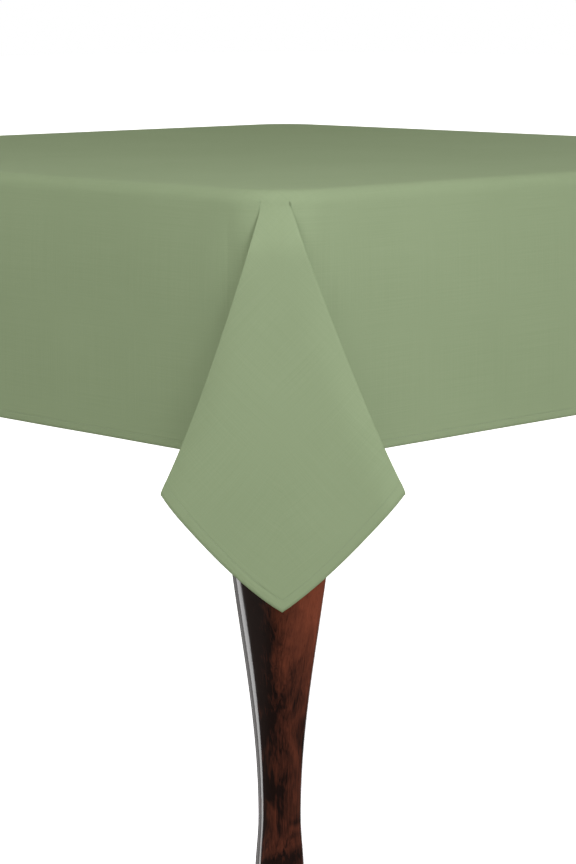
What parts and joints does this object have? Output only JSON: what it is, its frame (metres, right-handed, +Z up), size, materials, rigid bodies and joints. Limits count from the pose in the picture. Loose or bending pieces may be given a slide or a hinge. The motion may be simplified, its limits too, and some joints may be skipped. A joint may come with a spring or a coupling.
{
  "type": "tablecloth on a table",
  "caption": "Square plain tablecloth with pressed box-pleat corners, laid over a square dining table with tapering cabriole legs and pad feet; the cloth lifts off.",
  "frame": {"origin": "on the floor under the middle of the table", "axes": "+Z up, table sides along X and Y, front is -Y and right is +X"},
  "size_m": [1.1976, 1.1976, 0.7618],
  "materials": {
    "cloth": "matt plain weave, sage green",
    "thread": "matt sewing thread",
    "mahogany": "gloss varnish over dark red-brown wood",
    "inner_wood": "bare planed wood",
    "steel": "zinc plated",
    "glide": "matt nylon"
  },
  "bodies": {
    "table": {"table_top": "mahogany", "apron_front": "mahogany", "apron_back": "mahogany", "apron_left": "mahogany", "apron_right": "mahogany", "leg_front_left": "mahogany", "leg_front_right": "mahogany", "leg_back_left": "mahogany", "leg_back_right": "mahogany", "corner_block_front_left": "inner_wood", "corner_block_front_right": "inner_wood", "corner_block_back_left": "inner_wood", "corner_block_back_right": "inner_wood", "hanger_bolts": "steel", "hanger_washers": "steel", "hanger_nuts": "steel", "corner_block_screws": "steel", "top_clips": "steel", "top_clip_screws": "steel", "foot_glides": "glide"},
    "tablecloth": {"cloth_top": "cloth", "cloth_drop_front": "cloth", "cloth_drop_back": "cloth", "cloth_drop_left": "cloth", "cloth_drop_right": "cloth", "corner_fold_front_left": "cloth", "corner_fold_front_right": "cloth", "corner_fold_back_left": "cloth", "corner_fold_back_right": "cloth", "corner_turns": "cloth", "hem_turnings": "cloth", "hem_thread": "thread"}
  },
  "joints": [
    {"name": "cloth_lift", "type": "slide", "parent": "table", "child": "tablecloth", "axis": [0, 0, 1], "range_m": [0, 0.45]}
  ]
}
